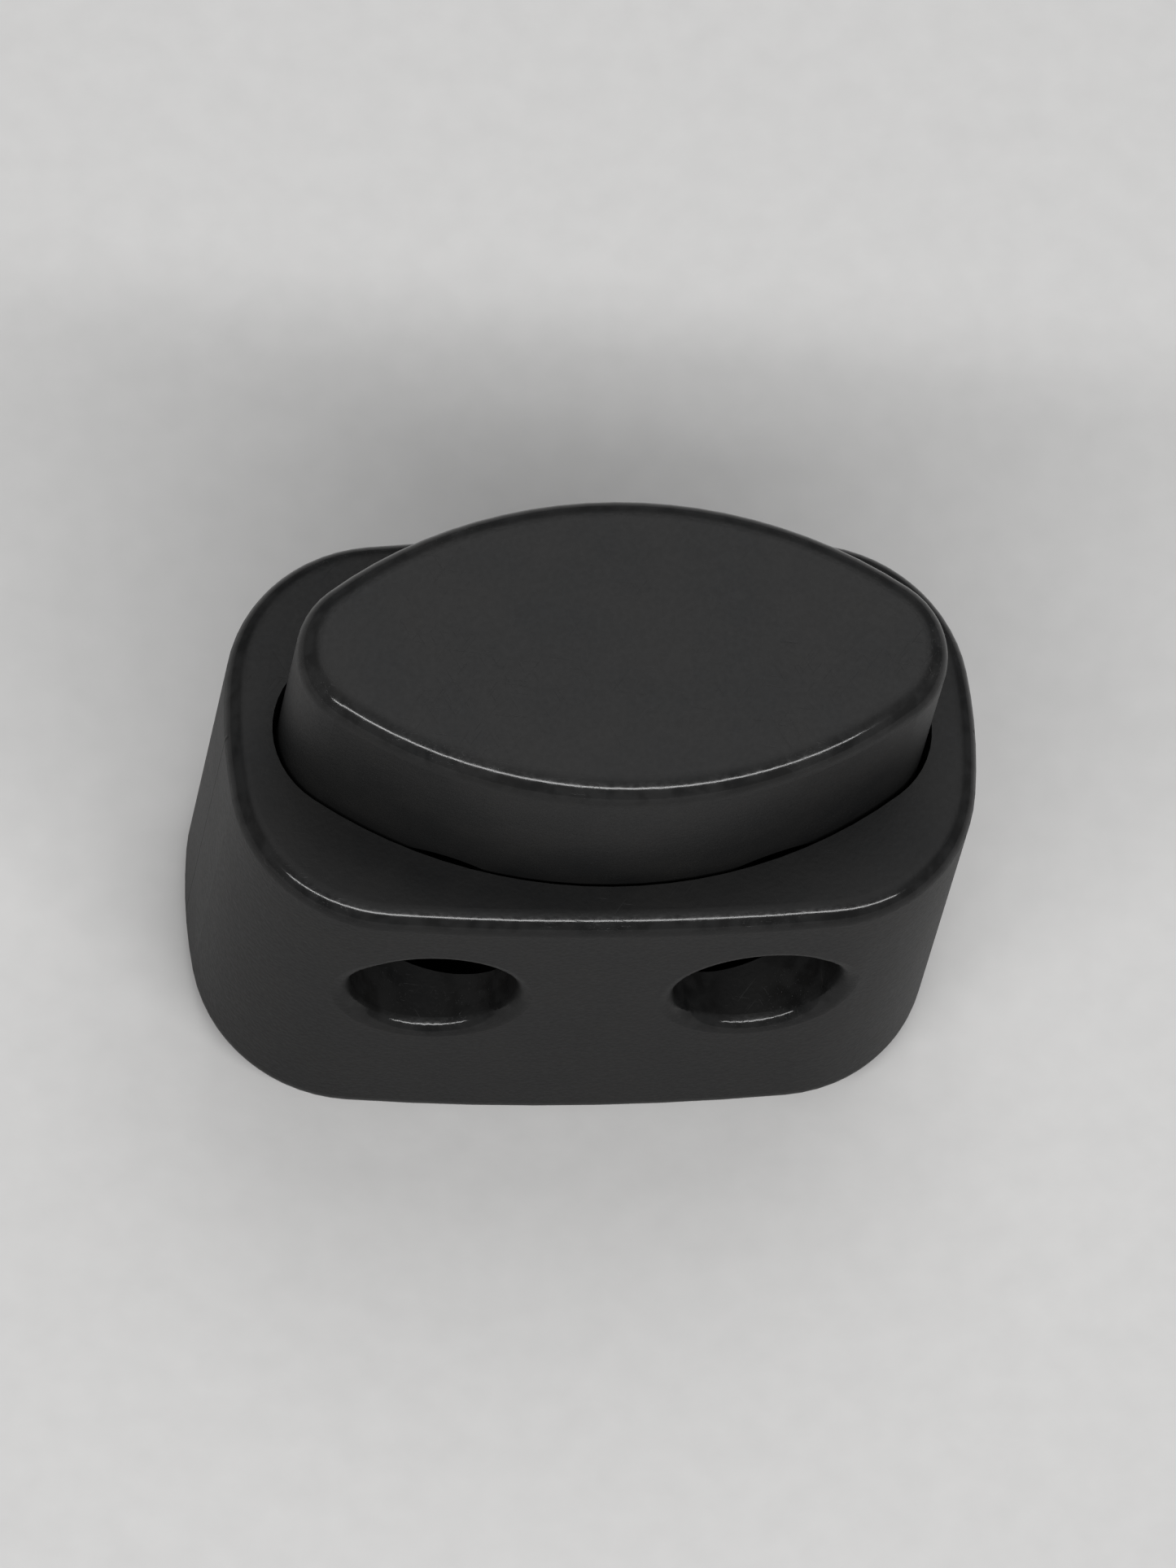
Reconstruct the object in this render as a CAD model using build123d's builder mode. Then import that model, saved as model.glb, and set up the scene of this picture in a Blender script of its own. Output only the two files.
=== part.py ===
from build123d import *
from math import atan2, degrees
import os

# Push-button cord lock for two shock cords: a barrel, a sprung button and its spring.
# It stands on its base. X runs from one cord hole to the other, Y along the cords and
# Z up the press axis. The origin is the middle of the base. Sizes are in millimetres,
# and the button is modelled up, on its stop.

# Cords
cord_diameter = 3.0
barrel_hole_play = 1.0  # the barrel's holes are this much wider than the cord
button_hole_play = 0.7
grip_gap = 1.5  # height left between the holes' edges when the button is up

# Barrel
barrel_width = 18.0
barrel_depth = 10.4
barrel_height = 11.2
side_bow = 0.5  # how far the front and back bulge
end_bow = 0.9
corner_radius = 3.9
base_radius = 0.8  # rounding of the bottom edge
rim_radius = 0.5
rim_above_hole = 2.2
mouth_radius = 0.35  # rounding of the cord holes' outer edges
end_wall = 1.1
side_wall = 1.1
floor_thickness = 1.2
recess_depth = 0.3  # in the base
recess_border = 1.1
gate_radius = 0.6
gate_height = 0.15

# Button
button_clearance = 0.15
button_roundness = 0.52  # end radius as a share of half the depth
button_rise = 4.8  # above the rim
top_radius = 0.6
bar_height = 3.3  # the gripping bars under the cord holes
bar_setback = 1.4  # how far the bars' fronts and backs stand in
notch_height = 2.2  # the spring's notch between the bars
stop_gap = 0.05

# Snap arms, cut free by a slit at each end of the button
arm_thickness = 0.95
slit_width = 0.5
slit_below_hole = 0.5  # the slit ends this far below the hole's centre
barb_reach = 0.4
barb_width = 2.0
barb_height = 1.2
barb_flat = 0.4  # height of the barb's straight tip
groove_play = 0.25
lip_height = 4.6  # the wall left above the barb's groove

# Spring
spring_diameter = 4.6
wire_diameter = 0.45
spring_turns = 4.5
spring_play = 0.3  # round the coils, and between them and the peg inside them
seat_gap = 0.02
peg_height = 1.0

# Sizes that follow
barrel_hole = cord_diameter + barrel_hole_play
button_hole = cord_diameter + button_hole_play
travel = (barrel_hole + button_hole) / 2 - grip_gap
hole_z = barrel_height - rim_above_hole - barrel_hole / 2
button_width = barrel_width - 2 * (end_wall + button_clearance)
button_depth = barrel_depth - 2 * (side_wall + button_clearance)
button_end_radius = button_roundness * button_depth / 2
button_top = barrel_height + button_rise
button_hole_z = hole_z + travel
button_bottom = button_hole_z - button_hole / 2 - bar_height
bar_depth = button_depth - 2 * bar_setback
ledge_z = button_bottom - travel - stop_gap
hole_x = button_width / 4  # each cord is in the middle of its half of the button
barb_top = barrel_height - lip_height
groove_bottom = barb_top - barb_height - travel - groove_play
slit_top = button_hole_z - slit_below_hole
notch_top = button_bottom + notch_height
well_radius = spring_diameter / 2 + spring_play
peg_radius = spring_diameter / 2 - wire_diameter - spring_play
ends = (-1, 1)


def barrel_outline(inset=0.0):
    """Fill the barrel's outline, a bowed rectangle with round corners, shrunk by inset."""
    x = barrel_width / 2 - end_bow - inset
    y = barrel_depth / 2 - side_bow - inset
    with BuildLine() as outline:
        SagittaArc((x, -y), (x, y), -end_bow)
        SagittaArc((x, y), (-x, y), -side_bow)
        SagittaArc((-x, y), (-x, -y), -end_bow)
        SagittaArc((-x, -y), (x, -y), -side_bow)
    face = make_face(outline.edges())
    fillet(face.vertices(), corner_radius - inset)


def four_arc_oval(width, depth, end_radius):
    """Fill an oval made of four tangent arcs, in the open sketch."""
    reach = width / 2 - end_radius
    side_radius = (reach**2 + (depth / 2) ** 2 - end_radius**2) / (depth - 2 * end_radius)
    drop = side_radius - depth / 2
    turn = degrees(atan2(drop, reach))
    with BuildLine() as outline:
        CenterArc((reach, 0), end_radius, -turn, 2 * turn)
        CenterArc((0, -drop), side_radius, turn, 180 - 2 * turn)
        CenterArc((-reach, 0), end_radius, 180 - turn, 2 * turn)
        CenterArc((0, drop), side_radius, 180 + turn, 180 - 2 * turn)
    make_face(outline.edges())


def button_outline(offset=0.0):
    """Fill the button's oval, grown by offset all round."""
    four_arc_oval(
        button_width + 2 * offset, button_depth + 2 * offset, button_end_radius + offset
    )


os.makedirs("parts", exist_ok=True)

# The barrel: a bowed block with two cross holes and a blind cavity, whose floor stops the
# button and has a round well for the spring.
with BuildPart() as barrel:
    with BuildSketch():
        barrel_outline()
    extrude(amount=barrel_height)
    fillet(barrel.edges().group_by(Axis.Z)[0], base_radius)
    fillet(barrel.edges().group_by(Axis.Z)[-1], rim_radius)

    with BuildSketch(Plane.XZ):
        with Locations((-hole_x, hole_z), (hole_x, hole_z)):
            Circle(barrel_hole / 2)
    extrude(amount=barrel_depth, both=True, mode=Mode.SUBTRACT)
    fillet(barrel.edges(Select.NEW).filter_by(GeomType.LINE, reverse=True), mouth_radius)

    with BuildSketch(Plane.XY.offset(ledge_z)):
        button_outline(button_clearance)
    extrude(amount=barrel_height, mode=Mode.SUBTRACT)
    with BuildSketch(Plane.XY.offset(floor_thickness)):
        Circle(well_radius)
    extrude(amount=ledge_z, mode=Mode.SUBTRACT)

    # grooves in the end walls, where the button's barbs slide
    with BuildSketch(Plane.XY.offset(groove_bottom)):
        Rectangle(
            button_width + 2 * (barb_reach + groove_play), barb_width + 2 * groove_play
        )
    extrude(amount=barb_top - groove_bottom, mode=Mode.SUBTRACT)

    # shallow recess under the base, with the gate's mark in it
    with BuildSketch(Plane.XY):
        barrel_outline(base_radius + recess_border)
        Circle(gate_radius, mode=Mode.SUBTRACT)
    extrude(amount=recess_depth, mode=Mode.SUBTRACT)
    with BuildSketch(Plane.XY):
        Circle(gate_radius)
    extrude(amount=recess_depth - gate_height, mode=Mode.SUBTRACT)
barrel.part.label = "barrel"

# The button: an oval plunger with two cross holes, each over a narrower gripping bar.
with BuildPart() as button:
    with BuildSketch(Plane.XY.offset(button_bottom)):
        button_outline()
    extrude(amount=button_top - button_bottom)
    fillet(button.edges().group_by(Axis.Z)[-1], top_radius)

    # flats that set the bars back from the barrel's walls, and the notch between the bars
    flats_top = hole_z + barrel_hole / 2 + stop_gap
    for side in ends:
        with BuildSketch(Plane.XY.offset(button_bottom)):
            with Locations((0, side * (bar_depth + button_depth) / 2)):
                Rectangle(button_width, button_depth)
        extrude(amount=flats_top - button_bottom, mode=Mode.SUBTRACT)
    with BuildSketch(Plane.XY.offset(button_bottom)):
        Rectangle(2 * well_radius, button_depth)
    extrude(amount=notch_height, mode=Mode.SUBTRACT)

    with BuildSketch(Plane.XZ):
        with Locations((-hole_x, button_hole_z), (hole_x, button_hole_z)):
            Circle(button_hole / 2)
    extrude(amount=button_depth, both=True, mode=Mode.SUBTRACT)

    with BuildSketch(Plane.XY.offset(button_bottom)):
        for end in ends:
            with Locations((end * (button_width / 2 - arm_thickness - slit_width / 2), 0)):
                Rectangle(slit_width, button_depth)
    extrude(amount=slit_top - button_bottom, mode=Mode.SUBTRACT)

    # barbs: square on top, where they catch, and tapered below, where they go in
    for end in ends:
        root = end * (button_width / 2 - arm_thickness / 2)
        face = end * button_width / 2
        tip = end * (button_width / 2 + barb_reach)
        with BuildSketch(Plane.XZ):
            with BuildLine():
                Polyline(
                    (root, barb_top - stop_gap),
                    (tip, barb_top - stop_gap),
                    (tip, barb_top - barb_flat),
                    (face, barb_top - barb_height),
                    (root, barb_top - barb_height),
                    close=True,
                )
            make_face()
        extrude(amount=barb_width / 2, both=True)

    # peg that centres the spring
    with BuildSketch(Plane.XY.offset(notch_top)):
        Circle(peg_radius)
    extrude(amount=-peg_height)
button.part.label = "button"

# The spring: one helix of round wire between the barrel's floor and the button.
with BuildPart() as spring:
    spring_bottom = floor_thickness + seat_gap
    spring_length = notch_top - seat_gap - spring_bottom
    rise = spring_length - wire_diameter
    with BuildLine():
        coil = Helix(
            rise / spring_turns,
            rise,
            (spring_diameter - wire_diameter) / 2,
            center=(0, 0, spring_bottom + wire_diameter / 2),
        )
    with BuildSketch(Plane(coil @ 0, z_dir=coil % 0)):
        Circle(wire_diameter / 2)
    sweep(is_frenet=True)
spring.part.label = "spring"

for piece in (barrel, button, spring):
    export_step(piece.part, f"parts/{piece.part.label}.step")

print(f"height {button_top:.2f}, travel {travel:.2f}, cord holes at z {hole_z:.2f}")
print(f"spring {spring_length:.2f} long, {spring_length - travel:.2f} when pressed")
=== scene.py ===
from math import cos, radians, sin, tau

import bmesh
import bpy
from mathutils import Matrix, Vector


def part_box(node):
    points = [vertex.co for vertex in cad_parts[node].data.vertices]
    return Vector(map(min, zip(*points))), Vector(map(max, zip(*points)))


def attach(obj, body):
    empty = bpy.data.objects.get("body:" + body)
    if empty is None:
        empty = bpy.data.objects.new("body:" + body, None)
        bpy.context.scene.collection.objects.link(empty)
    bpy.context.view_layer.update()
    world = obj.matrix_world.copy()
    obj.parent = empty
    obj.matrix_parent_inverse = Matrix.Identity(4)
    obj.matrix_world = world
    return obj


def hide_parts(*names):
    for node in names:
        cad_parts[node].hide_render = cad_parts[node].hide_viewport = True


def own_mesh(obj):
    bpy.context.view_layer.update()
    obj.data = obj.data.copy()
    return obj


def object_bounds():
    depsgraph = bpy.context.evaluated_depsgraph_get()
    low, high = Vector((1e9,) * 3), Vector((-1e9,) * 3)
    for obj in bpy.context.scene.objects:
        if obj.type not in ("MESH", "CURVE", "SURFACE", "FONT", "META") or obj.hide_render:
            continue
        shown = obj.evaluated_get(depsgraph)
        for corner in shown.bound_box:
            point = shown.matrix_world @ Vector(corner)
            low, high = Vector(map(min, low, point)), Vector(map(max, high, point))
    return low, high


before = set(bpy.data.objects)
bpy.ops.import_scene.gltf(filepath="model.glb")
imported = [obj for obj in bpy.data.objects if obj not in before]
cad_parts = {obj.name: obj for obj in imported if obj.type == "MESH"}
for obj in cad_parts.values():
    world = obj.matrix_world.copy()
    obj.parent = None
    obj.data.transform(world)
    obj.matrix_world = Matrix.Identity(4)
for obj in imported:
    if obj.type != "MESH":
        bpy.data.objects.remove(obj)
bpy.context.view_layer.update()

MM = 0.001

# Camera: angles in degrees, and the share of the picture's width that the lock fills
AZIMUTH = -17.0
ELEVATION = 65.0
ROLL = 15.0
LENS = 500.0
SENSOR = 36.0
FILL = 0.64
IMAGE_WIDTH = 1445
IMAGE_HEIGHT = 1927

# Plastic: its tones, then sizes of the marks on its skin and depths of their relief
BARREL_TONE = 0.006
BARREL_ROUGHNESS = 0.52
BUTTON_TONE = 0.007
BUTTON_ROUGHNESS = 0.46
GRAIN = 0.12 * MM
GRAIN_DEPTH = 0.009 * MM
MOTTLE = 1.8 * MM
MOTTLE_DEPTH = 0.012 * MM
WEAR_PATCH = 0.5 * MM
SCUFF = 0.035 * MM
SCUFF_LENGTH = 45  # in widths
SCUFF_TURNS = (8, 63, 128)  # degrees about Z
SCUFF_PATCH = 2.6 * MM
SCUFF_DEPTH = 0.003 * MM
SEAM_EDGES = (0.01 * MM, 0.06 * MM)  # from the middle of the mould seam
SEAM_FADE = 0.2 * MM
SEAM_DEPTH = 0.025 * MM
SEAM_INSET = 1.2 * MM  # the seam shows this near to the barrel's ends
EDGE_ROUGHNESS = 0.12  # where handling has polished an edge

# Spring: wire, turns and winding
WIRE = 0.45 * MM
CLOSED_PITCH = 0.46 * MM
CLOSED_TURNS = 0.9
OPENING_TURNS = 0.5  # from the closed pitch to the open one
TURNS = 5.4
GROUND = 0.12 * MM  # the wire's centre at each end is this far inside the ground face
STEPS_PER_TURN = 48
WIRE_SIDES = 16
DIE_LINE_DEPTH = 0.004 * MM

# Studio
FLOOR_REACH = 1.5  # from the middle to each side
FLOOR_TONES = (0.37, 0.41)
FIBRE = 0.9 * MM
FIBRE_DEPTH = 0.01 * MM
SKY_COLOR = (0.96, 0.98, 1.0, 1)
SKY_STRENGTH = 0.25


class Nodes:
    """A new node material, with short calls to add nodes and links to it."""

    def __init__(self, name):
        self.material = bpy.data.materials.new(name)
        self.material.use_nodes = True
        self.tree = self.material.node_tree
        self.tree.nodes.clear()
        self.output = self.add("ShaderNodeOutputMaterial")
        self.shader = self.add("ShaderNodeBsdfPrincipled")
        self.link(self.shader.outputs["BSDF"], self.output.inputs["Surface"])
        self.coords = self.add("ShaderNodeTexCoord")
        self.place = self.coords.outputs["Object"]

    def add(self, kind, **settings):
        node = self.tree.nodes.new(kind)
        for key, value in settings.items():
            setattr(node, key, value)
        return node

    def link(self, source, target):
        self.tree.links.new(source, target)

    def feed(self, target, value):
        """Link value to the target socket if it is a socket, or set it there."""
        if isinstance(value, bpy.types.NodeSocket):
            self.link(value, target)
        else:
            target.default_value = value

    def set(self, **values):
        """Set the shader's own sockets, named with underscores for spaces."""
        for key, value in values.items():
            self.feed(self.shader.inputs[key.replace("_", " ")], value)

    def math(self, operation, *values):
        node = self.add("ShaderNodeMath", operation=operation)
        for target, value in zip(node.inputs, values):
            self.feed(target, value)
        return node.outputs[0]

    def ramp(self, value, low, high, to_low=0.0, to_high=1.0):
        """Map low..high to to_low..to_high, with a smooth step."""
        node = self.add("ShaderNodeMapRange", interpolation_type="SMOOTHSTEP")
        for target, number in zip(node.inputs, (value, low, high, to_low, to_high)):
            self.feed(target, number)
        return node.outputs["Result"]

    def axes(self, vector):
        node = self.add("ShaderNodeSeparateXYZ")
        self.link(vector, node.inputs[0])
        return node.outputs

    def noise(self, size, detail=2.0, stretch=(1, 1, 1), turn=0.0):
        """Noise with features of about size, stretched along each axis and turned about Z."""
        turned = self.add("ShaderNodeMapping")
        turned.inputs["Rotation"].default_value = (0, 0, radians(turn))
        self.link(self.place, turned.inputs["Vector"])
        scaled = self.add("ShaderNodeMapping")
        scaled.inputs["Scale"].default_value = [1 / (size * s) for s in stretch]
        self.link(turned.outputs["Vector"], scaled.inputs["Vector"])
        node = self.add("ShaderNodeTexNoise")
        node.inputs["Scale"].default_value = 1.0
        node.inputs["Detail"].default_value = detail
        self.link(scaled.outputs["Vector"], node.inputs["Vector"])
        return node.outputs["Fac"]

    def mix(self, share, a, b):
        """Mix colours: a where share is 0, and b where it is 1."""
        node = self.add("ShaderNodeMix", data_type="RGBA")
        values = {"Factor_Float": share, "A_Color": a, "B_Color": b}
        for target in node.inputs:
            if target.identifier in values:
                self.feed(target, values[target.identifier])
        return next(o for o in node.outputs if o.identifier == "Result_Color")

    def bump(self, height, depth, normal=None):
        """Relief of depth metres for a height of 0 to 1, on top of normal."""
        node = self.add("ShaderNodeBump")
        node.inputs["Distance"].default_value = depth
        self.link(height, node.inputs["Height"])
        if normal is not None:
            self.link(normal, node.inputs["Normal"])
        return node.outputs["Normal"]


def gray(value, warmth=0.0):
    return (value * (1 + warmth), value, value * (1 - warmth), 1)


# ------------------------------------------------------------------ materials


def black_plastic(name, base, roughness, seam):
    """Black moulded acetal: spark-eroded satin skin, flow mottle, hairline scuffs, edges and
    holes rubbed smooth. Seam is the |x| past which the mould's parting line shows, or None."""
    n = Nodes(name)
    grain = n.noise(GRAIN, detail=4)
    mottle = n.noise(MOTTLE, detail=4)

    # edge is 1 where the surface leans half way between upright and level
    slope = n.axes(n.coords.outputs["Normal"])["Z"]
    slope = n.math("MULTIPLY", slope, slope)
    edge = n.math("MULTIPLY", n.math("MULTIPLY", slope, 4.0), n.math("SUBTRACT", 1.0, slope))
    edge = n.ramp(edge, 0.0, 0.8)
    worn = n.math("MULTIPLY", edge, n.ramp(n.noise(WEAR_PATCH, detail=3), 0.35, 0.62))

    scuffs = None
    for turn in SCUFF_TURNS:
        line = n.noise(SCUFF, detail=1, stretch=(SCUFF_LENGTH, 1, 1), turn=turn)
        line = n.ramp(line, 0.70, 0.74)
        scuffs = line if scuffs is None else n.math("MAXIMUM", scuffs, line)
    scuffs = n.math("MULTIPLY", scuffs, n.ramp(n.noise(SCUFF_PATCH, detail=2), 0.48, 0.62))

    color = n.mix(n.ramp(mottle, 0.3, 0.7), gray(base * 0.84, -0.02), gray(base * 1.16, 0.02))
    color = n.mix(n.math("MULTIPLY", worn, 0.5), color, gray(base * 2.4))
    color = n.mix(n.math("MULTIPLY", scuffs, 0.5), color, gray(base * 3.0))

    rough = n.math("MULTIPLY_ADD", grain, 0.14, roughness - 0.07)
    rough = n.math("MULTIPLY_ADD", mottle, 0.08, n.math("SUBTRACT", rough, 0.04))
    rough = n.math("MULTIPLY_ADD", edge, EDGE_ROUGHNESS - roughness, rough)
    rough = n.math("MULTIPLY_ADD", scuffs, 0.10, rough)
    n.set(Base_Color=color, Roughness=rough, IOR=1.38, Specular_IOR_Level=0.25)

    # the edges have next to no grain left
    kept = n.math("SUBTRACT", 1.0, n.math("MULTIPLY", edge, 0.97))
    normal = n.bump(n.math("MULTIPLY", grain, kept), GRAIN_DEPTH)
    normal = n.bump(mottle, MOTTLE_DEPTH, normal)
    normal = n.bump(n.math("MULTIPLY", scuffs, -1.0), SCUFF_DEPTH, normal)
    if seam is not None:
        place = n.axes(n.place)
        x = n.math("ABSOLUTE", place["X"])
        y = n.math("ABSOLUTE", place["Y"])
        line = n.ramp(y, *SEAM_EDGES, 1.0, 0.0)
        line = n.math("MULTIPLY", line, n.ramp(x, seam, seam + SEAM_FADE))
        line = n.math("MULTIPLY", line, n.ramp(slope, 0.0, 0.3, 1.0, 0.0))
        normal = n.bump(line, SEAM_DEPTH, normal)
    n.set(Normal=normal)
    return n.material


def spring_steel(name):
    """Drawn stainless wire: fine die lines along the wire, and a faint warm tarnish."""
    n = Nodes(name)
    n.place = n.coords.outputs["UV"]
    lines = n.noise(1.0, detail=3, stretch=(0.6, 0.012, 1))
    stain = n.noise(1.0, detail=3, stretch=(0.35, 0.5, 1))
    color = n.mix(n.ramp(stain, 0.35, 0.7), gray(0.50, 0.01), gray(0.40, 0.05))
    rough = n.math("MULTIPLY_ADD", lines, 0.2, 0.2)
    n.set(Base_Color=color, Roughness=rough, Metallic=1.0, Normal=n.bump(lines, DIE_LINE_DEPTH))
    return n.material


def pale_floor(name):
    """A pale matt card."""
    n = Nodes(name)
    fibre = n.noise(FIBRE, detail=4)
    color = n.mix(fibre, *(gray(tone, 0.010) for tone in FLOOR_TONES))
    n.set(Base_Color=color, Roughness=0.9, Normal=n.bump(fibre, FIBRE_DEPTH))
    return n.material


def dress(node, material):
    """Give a CAD node its material."""
    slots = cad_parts[node].data.materials
    slots.clear()
    slots.append(material)


barrel_low, barrel_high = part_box("barrel")
seam = barrel_high.x - SEAM_INSET
dress("barrel", black_plastic("barrel_plastic", BARREL_TONE, BARREL_ROUGHNESS, seam))
dress("button", black_plastic("button_plastic", BUTTON_TONE, BUTTON_ROUGHNESS, None))

# ------------------------------------------------------------------ spring


def spring_heights(low, high):
    """Heights of the wire's centre at each step, from one closed end turn to the other."""
    steps = round(TURNS * STEPS_PER_TURN)
    shares = []  # of the open pitch, with none in the closed end turns
    for i in range(steps):
        turns = (i + 0.5) / STEPS_PER_TURN
        t = (min(turns, TURNS - turns) - CLOSED_TURNS) / OPENING_TURNS
        t = min(1, max(0, t))
        shares.append(t * t * (3 - 2 * t))
    closed = CLOSED_PITCH / STEPS_PER_TURN
    extra = (high - low - 2 * GROUND - closed * steps) / sum(shares)
    heights = [low + GROUND]
    for share in shares:
        heights.append(heights[-1] + closed + extra * share)
    return heights


def spring_piece(name, material):
    """A right-hand compression spring with closed, ground ends, in the CAD spring's box."""
    low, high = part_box("spring")
    center = (low + high) / 2
    radius = (high.x - low.x - WIRE) / 2
    points = []
    for i, z in enumerate(spring_heights(low.z, high.z)):
        turn = tau * i / STEPS_PER_TURN
        points.append(Vector((center.x + radius * cos(turn), center.y + radius * sin(turn), z)))
    last = len(points) - 1

    mesh = bmesh.new()
    uv = mesh.loops.layers.uv.new("UVMap")
    rings = []
    for i, point in enumerate(points):
        along = (points[min(i + 1, last)] - points[max(i - 1, 0)]).normalized()
        out = Vector((point.x - center.x, point.y - center.y, 0)).normalized()
        up = along.cross(out).normalized()
        ring = []
        for k in range(WIRE_SIDES):
            angle = tau * k / WIRE_SIDES
            spot = point + (out * cos(angle) + up * sin(angle)) * WIRE / 2
            spot.z = min(max(spot.z, low.z), high.z)
            ring.append(mesh.verts.new(spot))
        rings.append(ring)
    for i in range(last):
        for k in range(WIRE_SIDES):
            k2 = (k + 1) % WIRE_SIDES
            face = mesh.faces.new((rings[i][k], rings[i][k2], rings[i + 1][k2], rings[i + 1][k]))
            face.smooth = True
            corners = ((i, k), (i, k + 1), (i + 1, k + 1), (i + 1, k))
            for loop, (a, b) in zip(face.loops, corners):
                loop[uv].uv = (a / STEPS_PER_TURN, b / WIRE_SIDES)
    mesh.faces.new(rings[0])
    mesh.faces.new(reversed(rings[-1]))
    bmesh.ops.recalc_face_normals(mesh, faces=mesh.faces)
    data = bpy.data.meshes.new(name)
    mesh.to_mesh(data)
    mesh.free()
    data.materials.append(material)
    piece = bpy.data.objects.new(name, data)
    bpy.context.scene.collection.objects.link(piece)
    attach(piece, "barrel")
    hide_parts("spring")

    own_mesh(piece)


spring_piece("spring_wire", spring_steel("spring_steel"))

# ------------------------------------------------------------------ floor

low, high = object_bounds()
middle = (low + high) / 2
shape = bmesh.new()
bmesh.ops.create_grid(shape, x_segments=1, y_segments=1, size=FLOOR_REACH)
floor_mesh = bpy.data.meshes.new("floor")
shape.to_mesh(floor_mesh)
shape.free()
floor = bpy.data.objects.new("floor", floor_mesh)
floor.location = (middle.x, middle.y, low.z)
floor.data.materials.append(pale_floor("pale_card"))
bpy.context.scene.collection.objects.link(floor)

# ------------------------------------------------------------------ light


def direction(azimuth, elevation):
    """The unit vector from the lock towards a camera or light at these angles in degrees."""
    a, e = radians(azimuth), radians(elevation)
    return Vector((sin(a) * cos(e), -cos(a) * cos(e), sin(e)))


def soft_light(name, azimuth, elevation, distance, width, height, power):
    """An area light aimed at the lock, placed by angles as the camera is."""
    away = direction(azimuth, elevation)
    data = bpy.data.lights.new(name, "AREA")
    data.shape = "RECTANGLE"
    data.size = width
    data.size_y = height
    data.energy = power
    light = bpy.data.objects.new(name, data)
    light.location = middle + away * distance
    light.rotation_euler = away.to_track_quat("Z", "Y").to_euler()
    bpy.context.scene.collection.objects.link(light)


# a long thin strip in front draws the lines on the edges, and a panel behind lights the top
soft_light("key", -5, 52, distance=0.55, width=1.0, height=0.05, power=5.6)
soft_light("back", 163, 66, distance=0.7, width=0.5, height=0.4, power=2.2)

world = bpy.data.worlds.new("studio")
world.use_nodes = True
background = world.node_tree.nodes["Background"]
background.inputs["Color"].default_value = SKY_COLOR
background.inputs["Strength"].default_value = SKY_STRENGTH
bpy.context.scene.world = world
bpy.context.scene.view_settings.view_transform = "Standard"

# ------------------------------------------------------------------ camera

back = direction(AZIMUTH, ELEVATION)
distance = (high.x - low.x) / FILL * IMAGE_HEIGHT / IMAGE_WIDTH * LENS / SENSOR
camera_data = bpy.data.cameras.new("camera")
camera_data.lens = LENS
camera_data.sensor_width = SENSOR
camera_data.clip_start = distance / 100
camera_data.clip_end = distance * 10
camera = bpy.data.objects.new("camera", camera_data)
aim = back.to_track_quat("Z", "Y").to_matrix().to_4x4()
roll = Matrix.Rotation(radians(ROLL), 4, "Z")
camera.matrix_world = Matrix.Translation(middle + back * distance) @ aim @ roll
bpy.context.scene.collection.objects.link(camera)
bpy.context.scene.camera = camera
